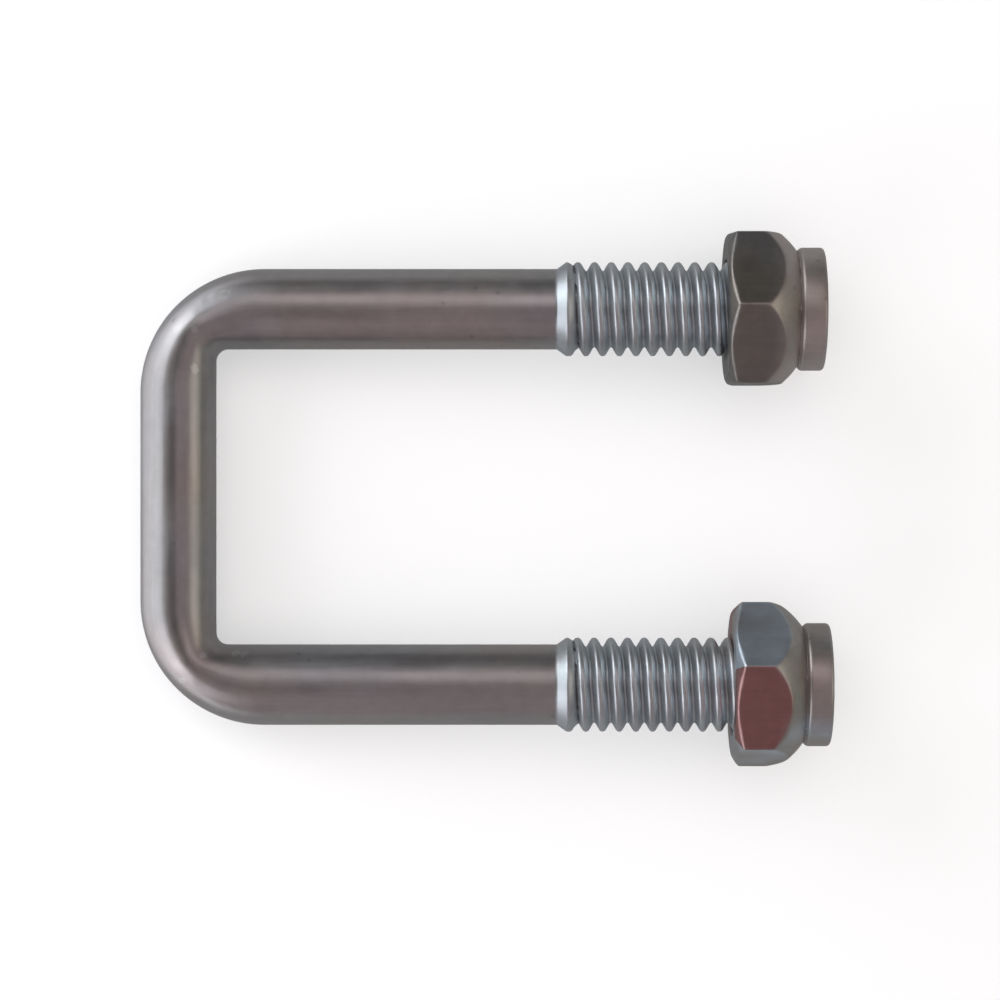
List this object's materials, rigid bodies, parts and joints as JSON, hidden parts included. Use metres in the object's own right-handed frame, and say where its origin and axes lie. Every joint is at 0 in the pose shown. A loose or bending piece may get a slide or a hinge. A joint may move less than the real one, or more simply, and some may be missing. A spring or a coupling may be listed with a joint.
{
  "type": "square u-bolt pad eye",
  "caption": "Square-bend U-bolt with threaded legs, each carrying a domed hexagon lock nut with a nylon insert; the crossbar is the eye a line or shackle pulls on.",
  "frame": {"origin": "on the crossbar's inner face, midway between the two legs, on the legs' centre plane", "axes": "+X along the legs to their threaded tips, +Y towards the left leg, +Z out of the plane of the U"},
  "size_m": [0.0582, 0.0452, 0.0146],
  "materials": {
    "rod_steel": "polished, drawn lengthwise",
    "left_nut_steel": "bright turned steel",
    "right_nut_steel": "bright turned steel",
    "nylon": "natural nylon"
  },
  "bodies": {
    "bent_rod": {"u_bolt": "rod_steel"},
    "left_insert": {"left_insert": "nylon"},
    "left_nut": {"left_nut": "left_nut_steel"},
    "right_insert": {"right_insert": "nylon"},
    "right_nut": {"right_nut": "right_nut_steel"}
  },
  "joints": [
    {"name": "left_nut_travel", "type": "slide", "parent": "bent_rod", "child": "left_insert", "axis": [1, 0, 0], "range_m": [-0.01214, 0.00602], "deforming": ["left_insert"]},
    {"name": "left_nut_turn", "type": "hinge", "parent": "left_insert", "child": "left_nut", "pos_m": [0.04307, 0.01588, 0], "axis": [1, 0, 0], "range_deg": [-3090, 1530]},
    {"name": "right_nut_travel", "type": "slide", "parent": "bent_rod", "child": "right_insert", "axis": [1, 0, 0], "range_m": [-0.01214, 0.00602], "deforming": ["right_insert"]},
    {"name": "right_nut_turn", "type": "hinge", "parent": "right_insert", "child": "right_nut", "pos_m": [0.04357, -0.01588, 0], "axis": [1, 0, 0], "range_deg": [-3090, 1530]}
  ],
  "couplings": [
    {"joint": "left_nut_travel", "follows": "left_nut_turn", "m_per_rad": 0.00022459},
    {"joint": "right_nut_travel", "follows": "right_nut_turn", "m_per_rad": 0.00022459}
  ]
}
